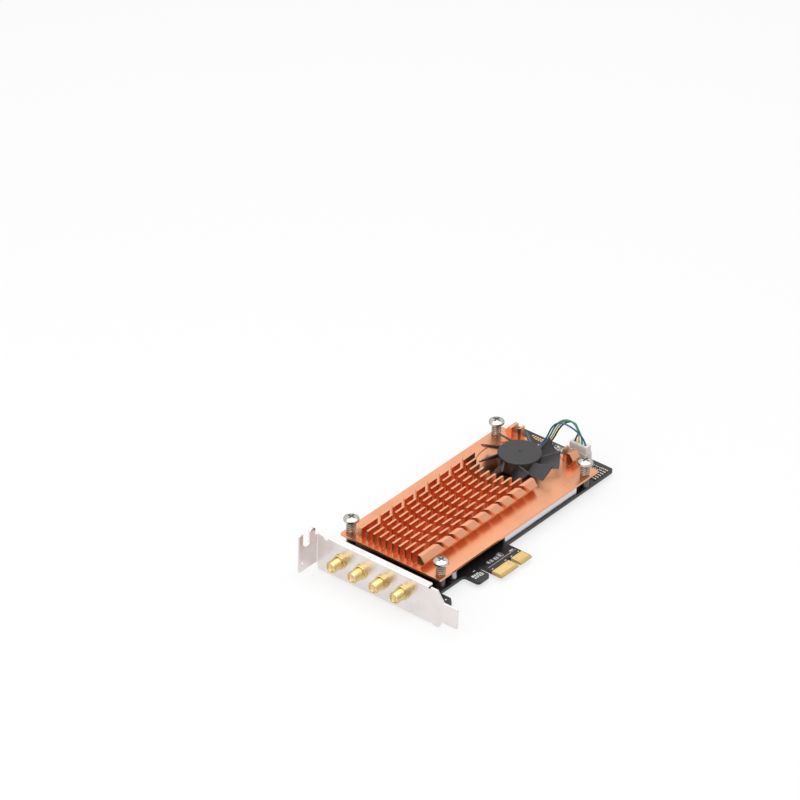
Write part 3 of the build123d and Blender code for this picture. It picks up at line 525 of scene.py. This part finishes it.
class CARD_OT_board(bpy.types.Operator):
    """Finish the circuit board, its contact pads and its printed marks"""

    bl_idname = "card.board"
    bl_label = "Board"

    pad_rows = 5
    pad_columns = 2
    outlines = [
        (-8.9, 10.1, -7.6, 12.0), (-6.8, 9.9, -5.6, 11.8), (-4.6, 9.7, -2.2, 11.6),
        (-1.4, 9.6, 0.9, 12.4), (81.9, 40.1, 85.3, 45.8), (82.6, 47.4, 85.2, 49.4),
    ]
    bars = [
        (-11.3, 8.42, 7.7, 8.58), (-11.3, 6.4, -10.4, 6.8), (-2.4, 6.4, -1.5, 6.8),
        (1.7, 6.2, 2.6, 6.6), (6.7, 6.3, 7.6, 6.7), (4.6, 9.2, 6.9, 9.7),
        (-8.5, 10.6, -8.0, 11.5), (-6.4, 10.3, -6.0, 11.4), (-4.2, 10.1, -3.7, 11.2),
        (-3.1, 10.1, -2.6, 11.2), (-0.9, 10.1, -0.2, 11.9), (-18.2, 11.5, -16.9, 11.9),
        (-42.8, 7.2, -41.9, 7.9), (-21.7, 9.0, -20.4, 10.1), (-20.1, 8.9, -19.3, 10.0),
        (-19.0, 8.9, -17.6, 9.3), (-18.6, 9.5, -17.2, 10.0), (-17.3, 8.8, -16.1, 9.3),
        (-21.5, 7.4, -20.7, 8.5), (-20.4, 7.4, -19.0, 7.8), (-20.2, 8.1, -18.7, 8.5),
        (-18.4, 7.2, -17.7, 8.4), (-17.4, 7.1, -16.1, 7.6), (-17.2, 7.9, -16.0, 8.4),
        (82.3, 40.6, 83.1, 41.5), (83.5, 40.5, 84.8, 41.0), (83.4, 41.3, 84.0, 42.4),
        (84.3, 41.4, 84.9, 42.1), (82.4, 42.0, 83.0, 43.3), (83.5, 42.8, 84.7, 43.2),
        (82.4, 43.8, 83.6, 44.3), (83.9, 43.6, 84.9, 44.7), (82.5, 44.7, 83.5, 45.3),
        (82.9, 47.8, 83.6, 49.0), (84.1, 47.8, 84.8, 49.0),
    ]

    def execute(self, context):
        sizes, colours = context.scene.card_sizes, context.scene.card_colours
        paint(solder_mask(sizes, colours), "board")
        gold = brushed_metal("contact_gold", tuple(colours.pad_gold), 0.3, (1, 0.05, 1))
        pads = rounded_copy("edge_contacts", "contact_pads", sizes.pad_round, 1)
        settle(pads, gold, ["edge_contacts"])
        ink = matte_coat("board_print", tuple(colours.print_white))
        header_low, header_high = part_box("fan_header")
        gap = sizes.print_gap / MM
        frames = self.outlines + [
            (
                header_low.x / MM - gap, header_low.y / MM - gap,
                header_high.x / MM + gap, header_high.y / MM + gap,
            )
        ]
        line = sizes.line_w / MM
        marks = list(self.bars)
        for x1, y1, x2, y2 in frames:
            marks += [(x1, y1, x2, y1 + line), (x1, y2 - line, x2, y2)]
            marks += [(x1, y1, x1 + line, y2), (x2 - line, y1, x2, y2)]
        pieces = [
            block("mark", (x1 * MM, y1 * MM, 0), (x2 * MM, y2 * MM, sizes.print_t), 0)
            for x1, y1, x2, y2 in marks
        ]
        settle(join(pieces, "board_print_marks"), ink)
        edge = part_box("board")[1].x
        first = turned(
            "pad", (edge - sizes.test_pad_inset, sizes.test_pad_y),
            [(0, sizes.test_pad_r), (2 * sizes.print_t, sizes.test_pad_r * 0.93)], 16,
        )
        pads = [first]
        for row in range(self.pad_rows):
            for column in range(self.pad_columns):
                if row or column:
                    step = (-column * sizes.test_pad_step_x, row * sizes.test_pad_step_y, 0)
                    pads.append(moved_copy(first, "pad", step))
        settle(join(pads, "rear_test_pads"), gold)
        return {"FINISHED"}


class CARD_OT_bracket(bpy.types.Operator):
    """Round and finish the folded bracket"""

    bl_idname = "card.bracket"
    bl_label = "Bracket"

    def execute(self, context):
        sizes, colours = context.scene.card_sizes, context.scene.card_colours
        sheet = rounded_copy("bracket", "bracket_sheet", sizes.sheet_round)
        metal = brushed_metal("nickel_sheet", tuple(colours.nickel), 0.3, (1, 0.04, 1), 0.008)
        settle(sheet, metal, ["bracket"])
        return {"FINISHED"}


class CARD_OT_jacks(bpy.types.Operator):
    """Cut the thread of the antenna jacks and finish their parts"""

    bl_idname = "card.jacks"
    bl_label = "Antenna jacks"

    def execute(self, context):
        sizes, colours = context.scene.card_sizes, context.scene.card_colours
        gold = brushed_metal("jack_gold", tuple(colours.gold), 0.2, (0.05, 1, 1))
        jack = joined_copy("antenna_jack_1", "jack_body_1")
        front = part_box("antenna_jack_1")[0].x
        nut_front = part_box("jack_nuts")[0].x
        low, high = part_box("jack_insulator_1")
        axis_y, axis_z = (low.y + high.y) / 2, (low.z + high.z) / 2
        cutter = self.thread_cutter(sizes, front, nut_front - sizes.thread_start, axis_y, axis_z)
        pick(jack)
        cut = jack.modifiers.new("Thread", "BOOLEAN")
        cut.operation = "DIFFERENCE"
        cut.solver = "EXACT"
        cut.object = cutter
        bpy.ops.object.modifier_apply(modifier=cut.name)
        bpy.data.objects.remove(cutter)
        bpy.ops.object.shade_smooth_by_angle(angle=radians(25))
        for number in range(1, 5):
            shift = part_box(f"antenna_jack_{number}")[0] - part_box("antenna_jack_1")[0]
            piece = jack if number == 1 else moved_copy(jack, f"jack_body_{number}", shift)
            settle(piece, gold, [f"antenna_jack_{number}"])
        nuts = rounded_copy("jack_nuts", "jack_hex_nuts", sizes.nut_round)
        settle(nuts, gold, ["jack_nuts"])
        washers = rounded_copy("jack_washers", "jack_flat_washers", sizes.metal_round)
        settle(washers, gold, ["jack_washers"])
        # Ivory finish tinted towards gold, partly a painted reflection of the gold bore round the
        # insulator.
        white = moulded_plastic("jack_insulator_ivory", tuple(colours.insulator), 0.45)
        for number in range(1, 5):
            contact = rounded_copy(f"jack_contact_{number}", f"jack_pin_{number}", sizes.metal_round)
            settle(contact, gold, [f"jack_contact_{number}"])
            paint(white, f"jack_insulator_{number}")
        self.solder(sizes, colours)
        return {"FINISHED"}

    def thread_cutter(self, sizes, front, back, axis_y, axis_z):
        """Helical wedge that cuts the thread into the barrel of the first jack."""
        radius = sizes.thread_r
        turns = int((back - front) / sizes.thread_pitch) + 2
        deselect()
        bpy.ops.mesh.primitive_circle_add(
            vertices=3, radius=sizes.thread_pitch * 0.5, fill_type="NOTHING", location=(0, 0, 0)
        )
        cutter = bpy.context.object
        deep, wide = sizes.thread_depth, sizes.thread_pitch * sizes.thread_flank
        start = front - sizes.thread_pitch
        corners = [
            (start, radius - deep, 0),
            (start - wide, radius + deep, 0),
            (start + wide, radius + deep, 0),
        ]
        for vertex, corner in zip(cutter.data.vertices, corners):
            vertex.co = corner
        screw = cutter.modifiers.new("Helix", "SCREW")
        screw.axis = "X"
        screw.angle = 2 * pi
        screw.iterations = turns
        screw.screw_offset = sizes.thread_pitch
        screw.steps = 40
        screw.render_steps = 40
        screw.use_normal_calculate = True
        pick(cutter)
        bpy.ops.object.modifier_apply(modifier=screw.name)
        edit(cutter)
        bpy.ops.mesh.select_all(action="DESELECT")
        bpy.ops.mesh.select_mode(type="EDGE")
        bpy.ops.mesh.select_non_manifold()
        bpy.ops.mesh.edge_face_add()
        close_edit()
        cutter.data.transform(Matrix.Translation((0, axis_y, axis_z)))
        return cutter

    def solder(self, sizes, colours):
        """Solder joints round the legs under the board."""
        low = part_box("board")[0].z
        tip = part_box("antenna_jack_1")[0].z
        joints = []
        for number in range(1, 5):
            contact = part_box(f"jack_contact_{number}")
            drop = (contact[1].x - sizes.contact_half, (contact[0].y + contact[1].y) / 2)
            for dx, dy in ((0, 0), (-1, -1), (1, -1), (-1, 1), (1, 1)):
                joints.append((drop[0] + dx * sizes.leg_offset, drop[1] + dy * sizes.leg_offset))
        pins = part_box("header_pins")
        for number in range(4):
            room = pins[1].y - pins[0].y - 2 * sizes.pin_half
            y = pins[0].y + sizes.pin_half + number / 3 * room
            joints.append(((pins[0].x + pins[1].x) / 2, y))
        radius = sizes.solder_r
        first = turned(
            "solder",
            joints[0],
            [
                (low, radius),
                (low - 0.06 * MM, radius * 0.96),
                (low - 0.2 * MM, radius * 0.72),
                (low - 0.42 * MM, radius * 0.5),
                (tip + sizes.solder_tip, radius * 0.3),
            ],
            20,
        )
        pieces = [first]
        for x, y in joints[1:]:
            pieces.append(moved_copy(first, "solder", (x - joints[0][0], y - joints[0][1], 0)))
        tin = brushed_metal("solder_tin", tuple(colours.solder), 0.24, (1, 1, 1))
        settle(join(pieces, "solder_joints"), tin)


class CARD_OT_heatsink(bpy.types.Operator):
    """Round and finish the finned heatsink"""

    bl_idname = "card.heatsink"
    bl_label = "Heatsink"

    def execute(self, context):
        sizes, colours = context.scene.card_sizes, context.scene.card_colours
        fins = rounded_copy("heatsink", "heatsink_fins", sizes.fin_round)
        settle(fins, anodised(colours), ["heatsink"])
        return {"FINISHED"}


class CARD_OT_screws(bpy.types.Operator):
    """Finish the screws and posts and wind the springs"""

    bl_idname = "card.screws"
    bl_label = "Screws and springs"

    def execute(self, context):
        sizes, colours = context.scene.card_sizes, context.scene.card_colours
        metal = brushed_metal("nickel_hardware", tuple(colours.hardware), 0.17, (1, 1, 1), 0.03)
        heads = rounded_copy("heatsink_screws", "screws", sizes.metal_round)
        settle(heads, metal, ["heatsink_screws"])
        posts = rounded_copy("standoffs", "threaded_posts", sizes.metal_round)
        dark = brushed_metal("post_metal", tuple(colours.posts), 0.35, (1, 1, 0.1))
        settle(posts, dark, ["standoffs"])
        low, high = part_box("screw_springs")
        radius = self.coil_radius(sizes)
        first = (low.x + radius + sizes.spring_wire / 2, low.y + radius + sizes.spring_wire / 2)
        spring = self.spring(sizes, first, radius, low.z, high.z)
        step_x = high.x - low.x - 2 * radius - sizes.spring_wire
        step_y = high.y - low.y - 2 * radius - sizes.spring_wire
        pieces = [spring]
        for dx, dy in ((step_x, 0), (0, step_y), (step_x, step_y)):
            pieces.append(moved_copy(spring, "spring", (dx, dy, 0)))
        wire = brushed_metal("spring_steel", tuple(colours.spring), 0.28, (1, 1, 1), 0.03)
        settle(join(pieces, "coil_springs"), wire, ["screw_springs"])
        return {"FINISHED"}

    def coil_radius(self, sizes):
        """Middle radius of a coil, from the width of the solid springs."""
        screws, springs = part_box("heatsink_screws"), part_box("screw_springs")
        return springs[1].x - (screws[1].x - sizes.head_r) - sizes.spring_wire / 2

    def spring(self, sizes, centre, radius, low, high):
        """Round wire wound into one spring with closed ends."""
        deselect()
        bpy.ops.mesh.primitive_circle_add(
            vertices=10, radius=sizes.spring_wire / 2, fill_type="NOTHING", rotation=(pi / 2, 0, 0),
            location=(radius, 0, 0),
        )
        wire = bpy.context.object
        bpy.ops.object.transform_apply(location=True, rotation=True, scale=True)
        winding = wire.modifiers.new("Winding", "SCREW")
        winding.axis = "Z"
        winding.angle = 2 * pi * sizes.spring_turns
        winding.screw_offset = high - low - sizes.spring_wire
        winding.steps = int(28 * sizes.spring_turns)
        winding.render_steps = winding.steps
        bpy.ops.object.modifier_apply(modifier=winding.name)
        edit(wire)
        bpy.ops.mesh.select_all(action="DESELECT")
        bpy.ops.mesh.select_mode(type="EDGE")
        bpy.ops.mesh.select_non_manifold()
        bpy.ops.mesh.edge_face_add()
        close_edit()
        bpy.ops.object.shade_smooth_by_angle(angle=radians(50))
        wire.data.transform(Matrix.Translation((*centre, low + sizes.spring_wire / 2)))
        wire.name = "spring"
        return wire


class CARD_OT_fan(bpy.types.Operator):
    """Round and finish the fan and its motor"""

    bl_idname = "card.fan"
    bl_label = "Fan"

    def execute(self, context):
        sizes, colours = context.scene.card_sizes, context.scene.card_colours
        plastic = moulded_plastic("fan_plastic", tuple(colours.fan_black), 0.36)
        rotor = rounded_copy("fan_rotor", "fan_wheel", sizes.plastic_round)
        settle(rotor, plastic, ["fan_rotor"], "fan")
        plate = rounded_copy("fan_base", "fan_plate", sizes.plastic_round)
        settle(plate, plastic, ["fan_base"])
        steel = brushed_metal("motor_steel", tuple(colours.steel), 0.35, (1, 1, 0.1))
        paint(steel, "rotor_yoke", "rotor_shaft", "stator_core")
        paint(moulded_plastic("ring_magnet", tuple(colours.magnet), 0.5), "rotor_magnet")
        paint(brushed_metal("bearing_bronze", tuple(colours.bronze), 0.4, (1, 1, 1)), "fan_bearing")
        paint(driver_green(colours), "fan_driver_board")
        winding = brushed_metal("enamelled_copper", tuple(colours.enamel), 0.3, (1, 1, 0.05))
        paint(winding, *[f"stator_coil_{number}" for number in range(1, 5)])
        return {"FINISHED"}


class CARD_OT_connector(bpy.types.Operator):
    """Round and finish the fan plug and its header"""

    bl_idname = "card.connector"
    bl_label = "Fan connector"

    def execute(self, context):
        sizes, colours = context.scene.card_sizes, context.scene.card_colours
        nylon = translucent_nylon(colours)
        header = rounded_copy("fan_header", "header_shroud", sizes.plastic_round)
        settle(header, nylon, ["fan_header"])
        plug = rounded_copy("fan_plug", "plug_housing", sizes.plastic_round)
        settle(plug, nylon, ["fan_plug"])
        tin = brushed_metal("pin_tin", tuple(colours.pin_tin), 0.25, (1, 1, 0.1))
        paint(tin, "header_pins", "plug_contacts")
        return {"FINISHED"}


class CARD_OT_wires(bpy.types.Operator):
    """Lay the four fan wires"""

    bl_idname = "card.wires"
    bl_label = "Fan wires"

    routes = {
        "blue": [
            (64.5, 45.07, 6.05), (75.15, 45.07, 6.05), (75.4, 40.67, 19.25),
            (76.9, 33.4, 20.5), (80.7, 26.6, 13.6), (81.2, 26.5, 9.0),
        ],
        "green": [
            (64.5, 44.19, 6.05), (75.45, 44.19, 6.05), (76.7, 39.49, 19.95),
            (79.0, 32.9, 22.2), (81.1, 28.2, 13.6), (81.2, 28.5, 9.0),
        ],
        "yellow": [
            (64.5, 43.31, 6.05), (75.8, 43.31, 6.05), (77.3, 38.71, 19.25),
            (80.2, 33.3, 21.4), (81.5, 30.1, 13.6), (81.2, 30.5, 9.0),
        ],
        "black": [
            (64.5, 42.43, 6.05), (76.15, 42.43, 6.05), (77.8, 38.13, 18.25), (81.1, 33.6, 20.4),
            (82.5, 31.1, 14.8), (81.3, 32.4, 11.2), (81.2, 32.5, 9.0),
        ],
    }
    lengths = {"blue": 0.0420, "green": 0.0425, "yellow": 0.0401, "black": 0.0385}

    def execute(self, context):
        sizes, colours = context.scene.card_sizes, context.scene.card_colours
        for colour, route in self.routes.items():
            line = bpy.data.curves.new(f"wire_{colour}", "CURVE")
            line.dimensions = "3D"
            line.bevel_depth = sizes.wire_d / 2
            line.bevel_resolution = 4
            line.resolution_u = 16
            line.use_fill_caps = True
            spline = line.splines.new("NURBS")
            spline.points.add(len(route) - 1)
            for point, place in zip(spline.points, route):
                point.co = (*(number * MM for number in place), 1)
            spline.order_u = 3
            spline.use_endpoint_u = True
            wire = bpy.data.objects.new(f"wire_{colour}", line)
            context.scene.collection.objects.link(wire)
            material = wire_insulation(f"insulation_{colour}", tuple(getattr(colours, f"wire_{colour}")))
            settle(wire, material, [f"fan_wire_{colour}"])
        return {"FINISHED"}


class CARD_OT_small_parts(bpy.types.Operator):
    """Finish the shield, the chips and the small parts on the board"""

    bl_idname = "card.small_parts"
    bl_label = "Small parts"

    def execute(self, context):
        sizes, colours = context.scene.card_sizes, context.scene.card_colours
        tin = brushed_metal("tinplate", tuple(colours.tin), 0.3, (0.05, 1, 1))
        can = rounded_copy("shield_can", "shield", sizes.can_round, 3)
        settle(can, tin, ["shield_can"])
        chip = moulded_plastic("chip_package", tuple(colours.chip_black), 0.5)
        for name in ["radio_chip", "flash_memory", "voltage_regulator"] + [
            f"front_end_{number}" for number in range(1, 5)
        ]:
            package = rounded_copy(name, f"{name}_package", sizes.package_round)
            settle(package, chip, [name])
        ferrite = moulded_plastic("ferrite", tuple(colours.ferrite), 0.6, 0.3)
        inductor = rounded_copy("power_inductor", "inductor_body", sizes.can_round)
        settle(inductor, ferrite, ["power_inductor"])
        lid = brushed_metal("can_aluminium", tuple(colours.can), 0.32, (1, 1, 0.1))
        capacitor = rounded_copy("filter_capacitor", "capacitor_can", sizes.capacitor_round, 3)
        settle(capacitor, lid, ["filter_capacitor"])
        quartz = rounded_copy("crystal", "crystal_can", sizes.metal_round)
        settle(quartz, lid, ["crystal"])
        pad = moulded_plastic("heat_pad", tuple(colours.heat_pad), 0.8, 0.3)
        paint(pad, "chip_pad", "heatsink_pad")
        ends = brushed_metal("chip_ends", tuple(colours.chip_ends), 0.3, (1, 1, 1))
        ceramic = moulded_plastic("ceramic", tuple(colours.ceramic), 0.5)
        film = moulded_plastic("resistor_film", tuple(colours.resistor), 0.45)
        self.chips(sizes, "chip_capacitors", "capacitor_chips", (6, 2), ceramic, ends, "ceramic_tan")
        self.chips(sizes, "chip_resistors", "resistor_chips", (2, 2), film, ends, "resistor_black")
        return {"FINISHED"}

    def chips(self, sizes, node, name, counts, body, ends, slot):
        """Rows of chip parts with metal ends, in place of plain blocks."""
        columns, rows = counts
        low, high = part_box(node)
        far_corner = Vector((low.x + sizes.chip_w, low.y + sizes.chip_l, high.z))
        skin = Vector((sizes.chip_skin, sizes.chip_skin, 0))
        inset = Vector((sizes.chip_skin, sizes.chip_skin, sizes.chip_skin))
        middle = block("chip", low + skin, far_corner - inset, sizes.chip_round)
        near = block("chip", low, (far_corner.x, low.y + sizes.chip_cap, high.z), sizes.end_round)
        far = block("chip", (low.x, far_corner.y - sizes.chip_cap, low.z), far_corner, sizes.end_round)
        for piece, material in ((middle, body), (near, ends), (far, ends)):
            piece.data.materials.append(material)
        first = join([middle, near, far], "chip")
        step_x = (high.x - low.x - sizes.chip_w) / (columns - 1)
        step_y = (high.y - low.y - sizes.chip_l) / (rows - 1)
        pieces = [first]
        for column in range(columns):
            for row in range(rows):
                if column or row:
                    pieces.append(moved_copy(first, "chip", (column * step_x, row * step_y, 0)))
        keep(join(pieces, name), [node])


class CARD_OT_stage(bpy.types.Operator):
    """Set up the floor, the light and the camera"""

    bl_idname = "card.stage"
    bl_label = "Stage"

    def execute(self, context):
        stage = context.scene.card_stage
        context.scene.view_settings.view_transform = "Standard"
        self.floor(stage)
        self.world(stage)
        self.lamp("key_light", stage.key, stage.key_size, KEY_PLACE)
        self.lamp("side_light", stage.side, stage.side_size, SIDE_PLACE)
        self.surround(stage)
        self.camera(context, stage)
        return {"FINISHED"}

    def camera(self, context, stage):
        """Camera at the photograph's angle."""
        turn, rise = stage.azimuth, stage.elevation
        back = Vector((sin(turn) * cos(rise), -cos(turn) * cos(rise), sin(rise)))
        right = Vector((0, 0, 1)).cross(back).normalized()
        up = back.cross(right)
        level = cos(stage.roll) * right + sin(stage.roll) * up
        upright = cos(stage.roll) * up - sin(stage.roll) * right
        data = bpy.data.cameras.new("camera")
        data.lens = stage.lens
        data.sensor_width = 36
        data.clip_end = 20
        camera = bpy.data.objects.new("camera", data)
        place = Matrix((level, upright, back)).transposed().to_4x4()
        place.translation = LOOK_AT + stage.distance * back
        camera.matrix_world = place
        context.scene.collection.objects.link(camera)
        context.scene.camera = camera

    def lamp(self, name, power, size, place):
        """Square soft light that looks at the card."""
        data = bpy.data.lights.new(name, "AREA")
        data.energy = power
        data.size = size
        lamp = bpy.data.objects.new(name, data)
        lamp.location = place
        lamp.rotation_mode = "QUATERNION"
        lamp.rotation_quaternion = Vector(place).to_track_quat("Z", "Y")
        bpy.context.scene.collection.objects.link(lamp)

    def surround(self, stage):
        """Dark band round the studio that metal shows near the horizon."""
        deselect()
        bpy.ops.mesh.primitive_cylinder_add(
            vertices=64, radius=stage.band_r, depth=stage.band_h, end_fill_type="NOTHING",
            location=(0, 0, stage.band_z),
        )
        band = bpy.context.object
        band.name = "surround"
        band.visible_camera = False
        band.data.materials.append(matte_coat("surround_grey", tuple(stage.band_colour)))

    def floor(self, stage):
        """Pale floor that stays white to the camera and keeps a soft shadow."""
        deselect()
        bpy.ops.mesh.primitive_plane_add(size=stage.floor_size, location=(0, 0, stage.floor_z))
        plane = bpy.context.object
        plane.name = "floor"
        material = bpy.data.materials.new("floor_white")
        material.use_nodes = True
        tree = material.node_tree
        tree.nodes.clear()
        output = tree.nodes.new("ShaderNodeOutputMaterial")
        diffuse = tree.nodes.new("ShaderNodeBsdfDiffuse")
        diffuse.inputs["Color"].default_value = (*stage.floor_colour, 1)
        glow = tree.nodes.new("ShaderNodeEmission")
        path = tree.nodes.new("ShaderNodeLightPath")
        seen = tree.nodes.new("ShaderNodeMath")
        seen.operation = "MAXIMUM"
        part = tree.nodes.new("ShaderNodeMath")
        part.operation = "MULTIPLY"
        part.inputs[1].default_value = stage.floor_white
        mix = tree.nodes.new("ShaderNodeMixShader")
        tree.links.new(path.outputs["Is Camera Ray"], seen.inputs[0])
        tree.links.new(path.outputs["Is Glossy Ray"], seen.inputs[1])
        tree.links.new(seen.outputs[0], part.inputs[0])
        tree.links.new(part.outputs[0], mix.inputs[0])
        tree.links.new(diffuse.outputs[0], mix.inputs[1])
        tree.links.new(glow.outputs[0], mix.inputs[2])
        tree.links.new(mix.outputs[0], output.inputs["Surface"])
        plane.data.materials.append(material)

    def world(self, stage):
        """Even white light, and plain white where the camera sees past the floor."""
        world = bpy.data.worlds.new("studio")
        world.use_nodes = True
        bpy.context.scene.world = world
        tree = world.node_tree
        background = tree.nodes["Background"]
        background.inputs["Color"].default_value = (1, 1, 1, 1)
        path = tree.nodes.new("ShaderNodeLightPath")
        seen = path.outputs["Is Camera Ray"]
        for ray in ("Is Glossy Ray", "Is Transmission Ray"):
            either = tree.nodes.new("ShaderNodeMath")
            either.operation = "MAXIMUM"
            tree.links.new(seen, either.inputs[0])
            tree.links.new(path.outputs[ray], either.inputs[1])
            seen = either.outputs[0]
        strength = tree.nodes.new("ShaderNodeMapRange")
        strength.inputs["To Min"].default_value = stage.world
        strength.inputs["To Max"].default_value = 1.0
        tree.links.new(seen, strength.inputs["Value"])
        tree.links.new(strength.outputs[0], background.inputs["Strength"])


class CARD_PT_sidebar(bpy.types.Panel):
    """List of the card's pieces and their values"""

    bl_idname = "CARD_PT_sidebar"
    bl_label = "Wireless network card"
    bl_space_type = "VIEW_3D"
    bl_region_type = "UI"
    bl_category = "Card"

    def draw(self, context):
        layout = self.layout
        for operator in pieces_in_order:
            layout.operator(operator.bl_idname)
        for group in (context.scene.card_sizes, context.scene.card_colours, context.scene.card_stage):
            box = layout.box()
            for key in group.__annotations__:
                box.prop(group, key)


pieces_in_order = (
    CARD_OT_board,
    CARD_OT_bracket,
    CARD_OT_jacks,
    CARD_OT_heatsink,
    CARD_OT_screws,
    CARD_OT_fan,
    CARD_OT_connector,
    CARD_OT_wires,
    CARD_OT_small_parts,
    CARD_OT_stage,
)
groups = {"card_sizes": CardSizes, "card_colours": CardColours, "card_stage": CardStage}


def register():
    """Register the classes and the value groups."""
    for group in groups.values():
        bpy.utils.register_class(group)
    for name, group in groups.items():
        setattr(bpy.types.Scene, name, PointerProperty(type=group))
    for operator in pieces_in_order:
        bpy.utils.register_class(operator)
    bpy.utils.register_class(CARD_PT_sidebar)


def unregister():
    """Take the classes and the value groups out again."""
    bpy.utils.unregister_class(CARD_PT_sidebar)
    for operator in reversed(pieces_in_order):
        bpy.utils.unregister_class(operator)
    for name, group in groups.items():
        delattr(bpy.types.Scene, name)
        bpy.utils.unregister_class(group)


def main():
    """Build every piece in order."""
    register()
    bpy.ops.card.board()
    bpy.ops.card.bracket()
    bpy.ops.card.jacks()
    bpy.ops.card.heatsink()
    bpy.ops.card.screws()
    bpy.ops.card.fan()
    bpy.ops.card.connector()
    bpy.ops.card.wires()
    bpy.ops.card.small_parts()
    bpy.ops.card.stage()


if __name__ == "__main__":
    main()
